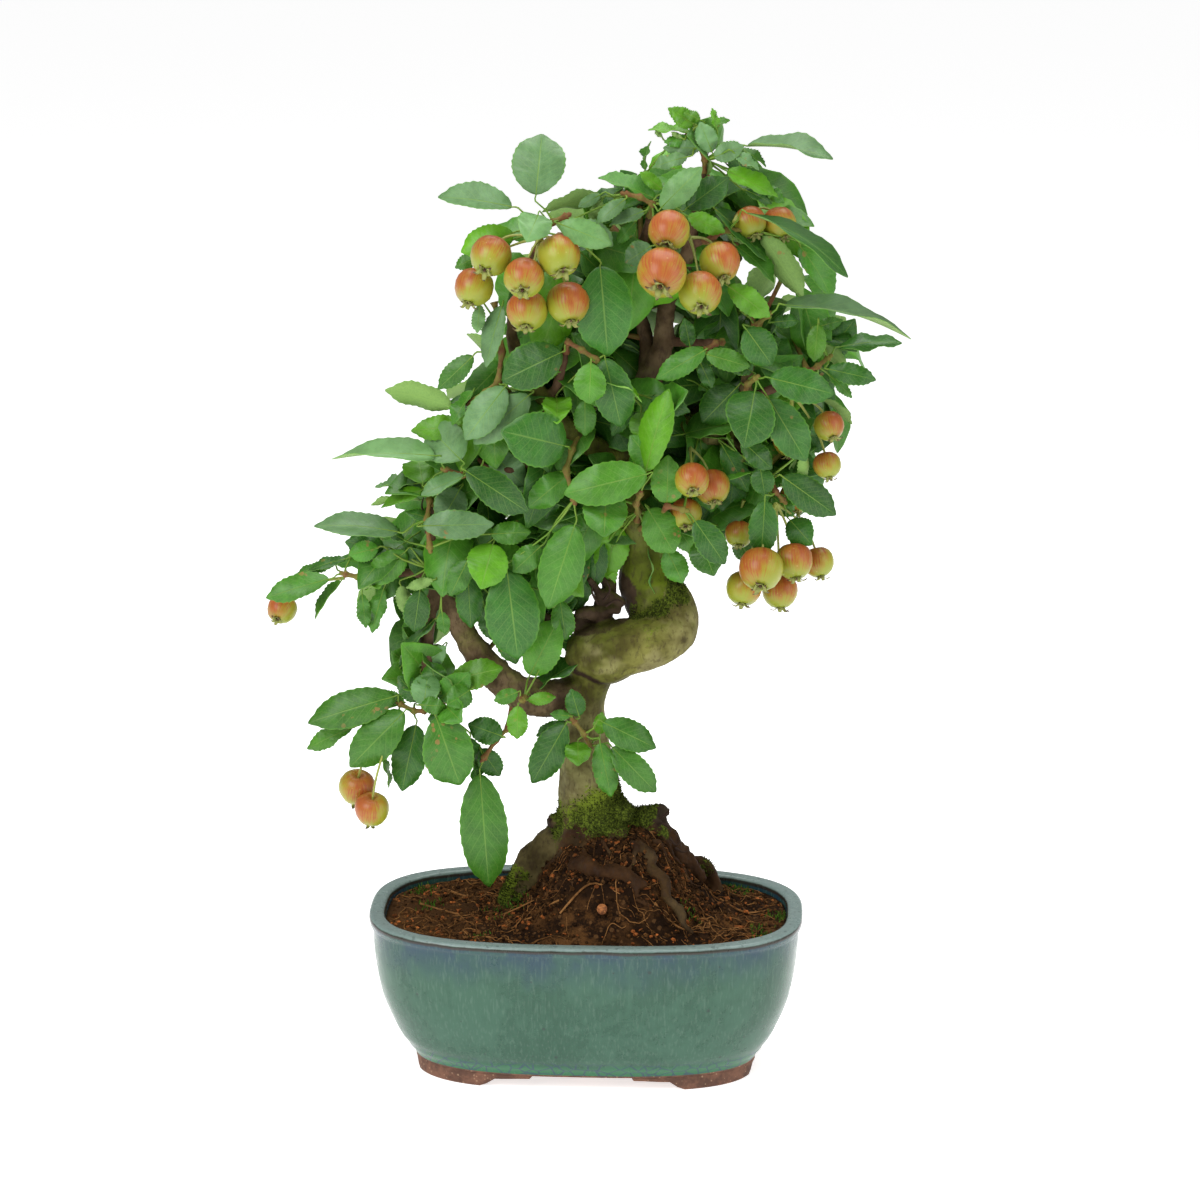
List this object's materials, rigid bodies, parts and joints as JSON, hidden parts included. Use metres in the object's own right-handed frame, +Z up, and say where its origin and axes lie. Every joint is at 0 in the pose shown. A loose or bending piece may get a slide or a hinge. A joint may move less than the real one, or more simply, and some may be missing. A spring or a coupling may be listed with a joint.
{
  "type": "crabapple bonsai",
  "caption": "Informal-upright crabapple bonsai with leafy shoots and small red-blushed fruit, rooted in peaty soil in a green-glazed oval-cornered pot on low clay feet.",
  "frame": {"origin": "under the middle of the object's overall width and depth, on the surface the feet stand on", "axes": "+Z up, the pot's front and the tree's viewing side face -Y, the pot's long side runs along X"},
  "size_m": [0.3186, 0.1592, 0.4916],
  "materials": {
    "glaze": "soft-gloss green-blue streaked glaze on brown stoneware, bare clay feet",
    "mesh": "matt woven drain mesh",
    "soil": "damp, crumbly, matt",
    "bark": "living bark, smooth to scaly, with moss and algae",
    "leaf": "matt to satin, pale below",
    "fruit": "satin skin with a soft highlight"
  },
  "bodies": {
    "root": {"pot": "glaze", "drain_mesh_left": "mesh", "drain_mesh_right": "mesh", "soil": "soil", "trunk": "bark", "leafy_shoot_upper_left": "leaf", "leafy_shoot_centre_upper": "leaf", "leafy_shoot_left_upper": "leaf", "leafy_shoot_left_middle": "leaf", "leafy_shoot_left_outer": "leaf", "leafy_shoot_left_lower": "leaf", "leafy_shoot_left_tip": "leaf", "leafy_shoot_centre_left": "leaf", "leafy_shoot_front": "leaf", "leafy_shoot_front_right": "leaf", "leafy_shoot_right_low": "leaf", "leafy_shoot_right_middle": "leaf", "leafy_shoot_right_outer": "leaf", "leafy_shoot_right_upper": "leaf", "leafy_shoot_centre_right": "leaf", "leafy_shoot_high_right": "leaf", "leafy_shoot_top": "leaf", "leafy_shoot_top_left": "leaf", "leafy_shoot_lower_left": "leaf", "leafy_shoot_lower_middle": "leaf", "leafy_shoot_branch_front": "leaf", "leafy_shoot_trunk_front": "leaf", "leafy_shoot_back_upper": "leaf", "leafy_shoot_back_right": "leaf", "leafy_shoot_back_left": "leaf", "leafy_shoot_back_middle": "leaf", "leafy_shoot_back_low": "leaf", "apple_upper_left_1": "fruit", "apple_upper_left_2": "fruit", "apple_upper_left_3": "fruit", "apple_upper_left_4": "fruit", "apple_upper_left_5": "fruit", "apple_upper_left_6": "fruit", "apple_upper_middle_1": "fruit", "apple_upper_middle_2": "fruit", "apple_upper_middle_3": "fruit", "apple_upper_middle_4": "fruit", "apple_upper_right_1": "fruit", "apple_upper_right_2": "fruit", "apple_right_1": "fruit", "apple_right_2": "fruit", "apple_right_3": "fruit", "apple_right_4": "fruit", "apple_middle_1": "fruit", "apple_middle_2": "fruit", "apple_middle_3": "fruit", "apple_inner_1": "fruit", "apple_low_right_1": "fruit", "apple_low_right_2": "fruit", "apple_low_right_3": "fruit", "apple_low_right_4": "fruit", "apple_low_right_5": "fruit", "apple_left_tip_1": "fruit", "apple_lower_left_1": "fruit", "apple_lower_left_2": "fruit"}
  },
  "joints": []
}
